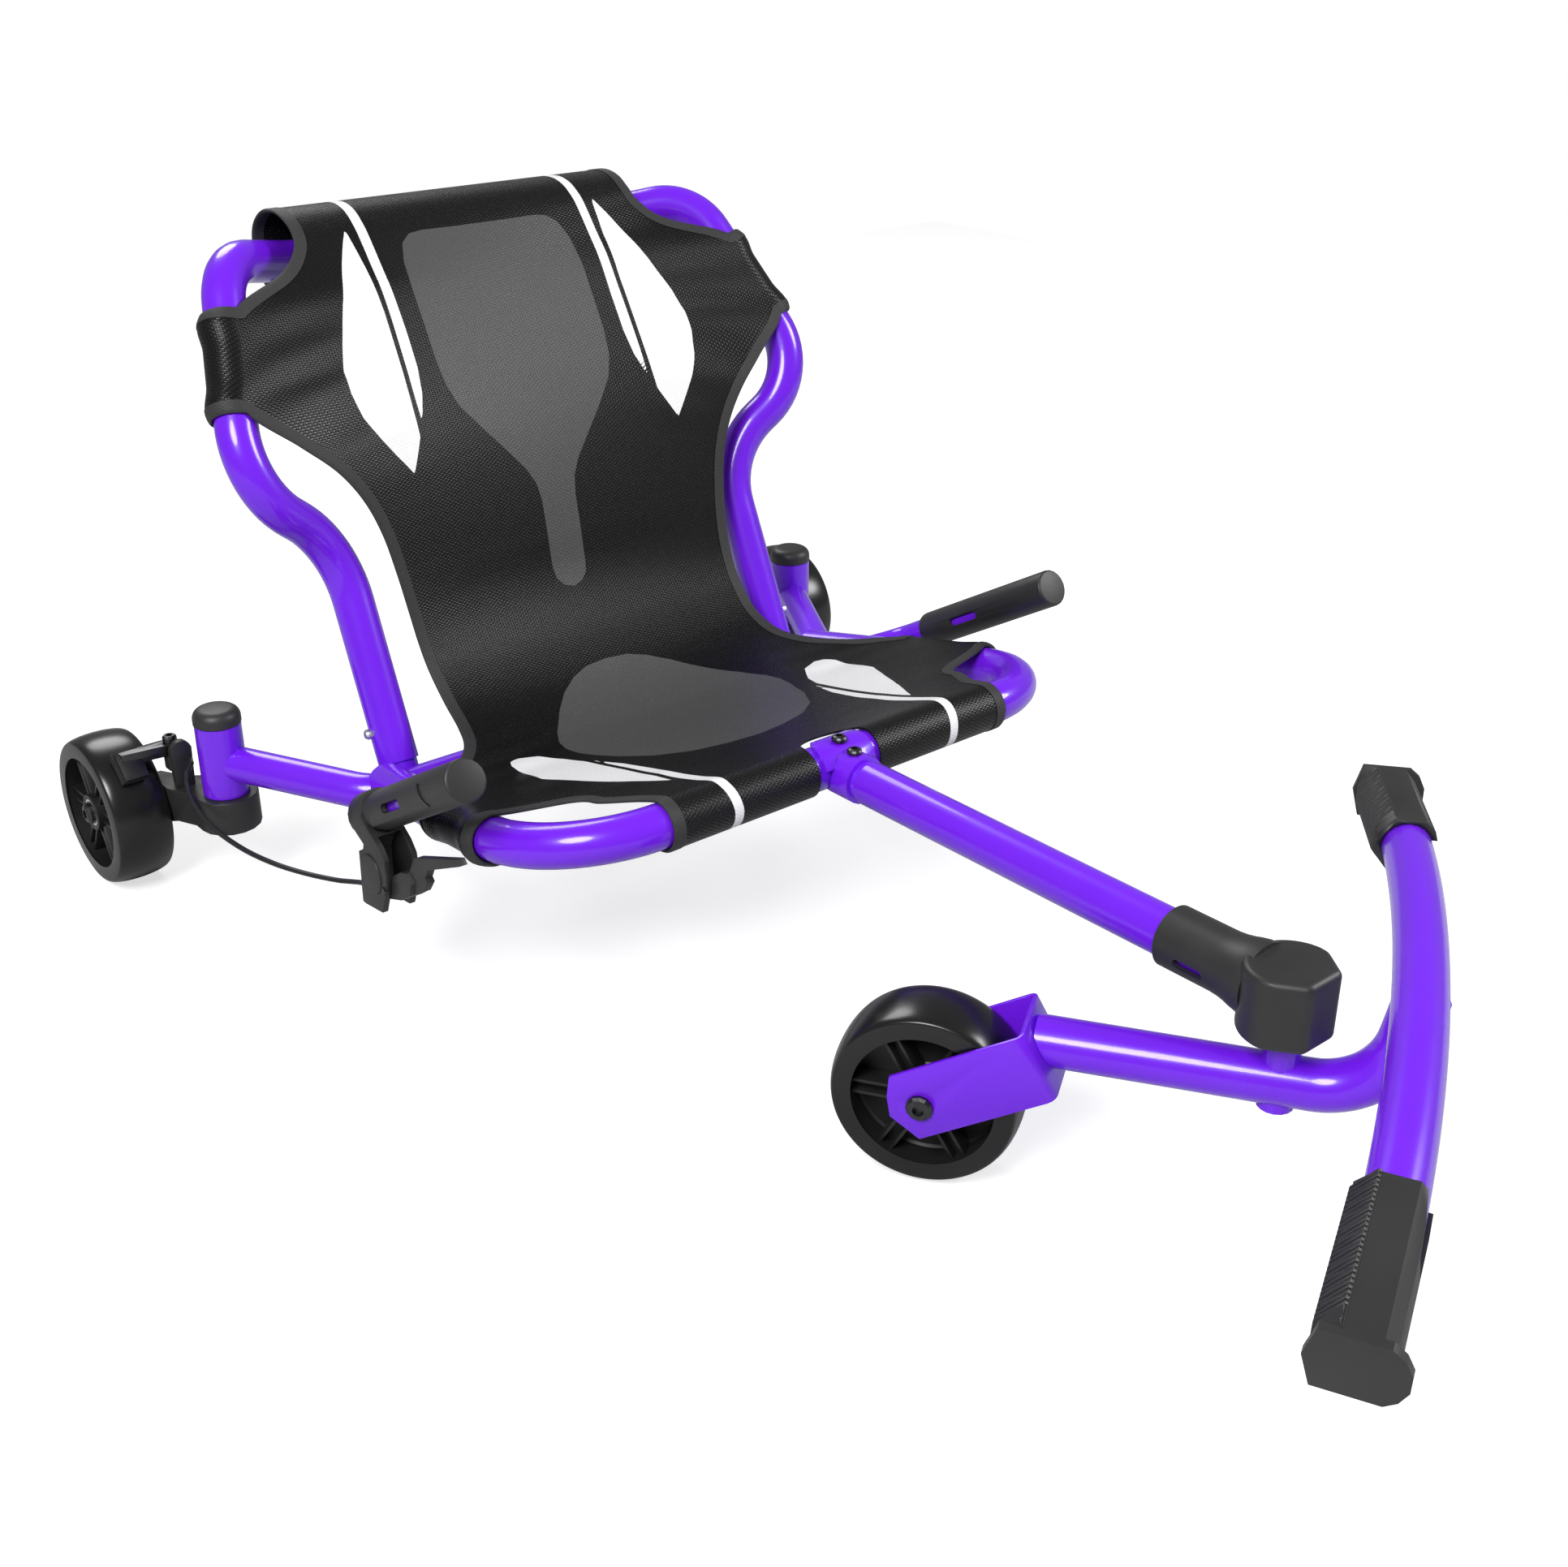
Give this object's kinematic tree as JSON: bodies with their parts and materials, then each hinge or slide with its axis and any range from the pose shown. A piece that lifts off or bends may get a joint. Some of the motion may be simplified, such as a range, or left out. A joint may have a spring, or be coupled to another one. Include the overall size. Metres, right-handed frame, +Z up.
{
  "type": "sit-down scooter",
  "caption": "Low scooter with a sling seat on a bent-tube frame, two rear casters, and a front wheel steered by a bar for the feet.",
  "frame": {"origin": "on the ground under the middle of the scooter's bounding box", "axes": "+Z up, -Y forward, +X to the rider's left"},
  "size_m": [0.7296, 1.1331, 0.4958],
  "materials": {
    "violet_paint": "gloss paint",
    "charcoal_plastic": "satin moulded plastic",
    "wheel_plastic": "fine-textured moulded plastic",
    "tread_rubber": "smooth cast tread",
    "bright_steel": "zinc plated",
    "dark_steel": "black oxide",
    "woven_fabric": "coated woven mesh",
    "cable_sheath": "smooth sheath"
  },
  "bodies": {
    "frame": {"rear_beam": "violet_paint", "head_tube_left": "violet_paint", "head_tube_right": "violet_paint", "seat_base_loop": "violet_paint", "seat_back_tube": "violet_paint", "seat_sling": "woven_fabric", "boom_saddle": "violet_paint", "saddle_bolt_front": "dark_steel", "saddle_bolt_rear": "dark_steel", "boom_tube": "violet_paint", "pivot_head": "charcoal_plastic", "steering_bush_upper": "charcoal_plastic", "steering_bush_lower": "charcoal_plastic", "handle_tube_left": "violet_paint", "handle_tube_right": "violet_paint", "grip_left": "charcoal_plastic", "grip_right": "charcoal_plastic", "brake_bracket": "charcoal_plastic", "lever_pin": "bright_steel", "brake_cable": "cable_sheath", "head_cap_left": "charcoal_plastic", "head_cap_right": "charcoal_plastic", "caster_bush_left": "charcoal_plastic", "caster_bush_right": "charcoal_plastic"},
    "brake_lever": {"brake_lever": "charcoal_plastic"},
    "steering": {"front_tube": "violet_paint", "fork_bracket": "violet_paint", "steering_kingpin": "violet_paint", "foot_bar": "violet_paint", "foot_peg_left": "charcoal_plastic", "foot_peg_right": "charcoal_plastic", "front_axle": "dark_steel", "front_axle_nut": "bright_steel"},
    "front_wheel": {"front_wheel_rim": "wheel_plastic", "front_wheel_tyre": "tread_rubber", "front_wheel_bearing_outer": "bright_steel", "front_wheel_bearing_inner": "bright_steel"},
    "caster_left": {"caster_arm_left": "charcoal_plastic", "caster_kingpin_left": "bright_steel", "rear_axle_left": "dark_steel"},
    "caster_right": {"caster_arm_right": "charcoal_plastic", "caster_kingpin_right": "bright_steel", "rear_axle_right": "dark_steel", "brake_post": "charcoal_plastic", "brake_pivot_bolt": "bright_steel"},
    "brake_arm": {"brake_arm": "bright_steel", "brake_pad": "tread_rubber"},
    "rear_wheel_left": {"rear_wheel_left_rim": "wheel_plastic", "rear_wheel_left_tyre": "tread_rubber", "rear_wheel_left_bearing_outer": "bright_steel", "rear_wheel_left_bearing_inner": "bright_steel"},
    "rear_wheel_right": {"rear_wheel_right_rim": "wheel_plastic", "rear_wheel_right_tyre": "tread_rubber", "rear_wheel_right_bearing_outer": "bright_steel", "rear_wheel_right_bearing_inner": "bright_steel"},
    "snap_button_left": {"snap_button_left": "bright_steel"},
    "snap_button_right": {"snap_button_right": "bright_steel"}
  },
  "joints": [
    {"name": "steering", "type": "hinge", "parent": "frame", "child": "steering", "pos_m": [0, -0.3478, 0.12], "axis": [0, 0, 1], "range_deg": [-78, 12]},
    {"name": "front_wheel_spin", "type": "hinge", "parent": "steering", "child": "front_wheel", "pos_m": [-0.11057, -0.17709, 0.06], "axis": [0.8393, 0.5436, 0], "continuous": true},
    {"name": "caster_swivel_left", "type": "hinge", "parent": "frame", "child": "caster_left", "pos_m": [0.283, 0.4212, 0.1], "axis": [0, 0, 1], "range_deg": [-25, 25]},
    {"name": "caster_swivel_right", "type": "hinge", "parent": "frame", "child": "caster_right", "pos_m": [-0.283, 0.4212, 0.1], "axis": [0, 0, 1], "range_deg": [-25, 25], "deforming": ["brake_cable"]},
    {"name": "rear_wheel_spin_left", "type": "hinge", "parent": "caster_left", "child": "rear_wheel_left", "pos_m": [0.3394, 0.5072, 0.06], "axis": [1, 0, 0], "continuous": true},
    {"name": "rear_wheel_spin_right", "type": "hinge", "parent": "caster_right", "child": "rear_wheel_right", "pos_m": [-0.3394, 0.5072, 0.06], "axis": [1, 0, 0], "continuous": true},
    {"name": "brake_lever_squeeze", "type": "hinge", "parent": "frame", "child": "brake_lever", "pos_m": [-0.2622, 0.18756, 0.09733], "axis": [-0.9992, 0.0402, 0], "range_deg": [0, 13], "stiffness_Nm_per_rad": 0.6, "springref_deg": -14.32},
    {"name": "brake_arm_swing", "type": "hinge", "parent": "caster_right", "child": "brake_arm", "pos_m": [-0.306, 0.4617, 0.115], "axis": [0, 0, -1], "range_deg": [0, 3.5]},
    {"name": "snap_button_press_left", "type": "slide", "parent": "frame", "child": "snap_button_left", "axis": [0.9999, 0.0047, 0.0109], "range_m": [-0.004, 0], "stiffness_N_per_m": 600, "springref_m": 0.003},
    {"name": "snap_button_press_right", "type": "slide", "parent": "frame", "child": "snap_button_right", "axis": [-0.9999, 0.0047, 0.0109], "range_m": [-0.004, 0], "stiffness_N_per_m": 600, "springref_m": 0.003}
  ],
  "couplings": [
    {"joint": "brake_arm_swing", "follows": "brake_lever_squeeze", "ratio": 0.26}
  ]
}
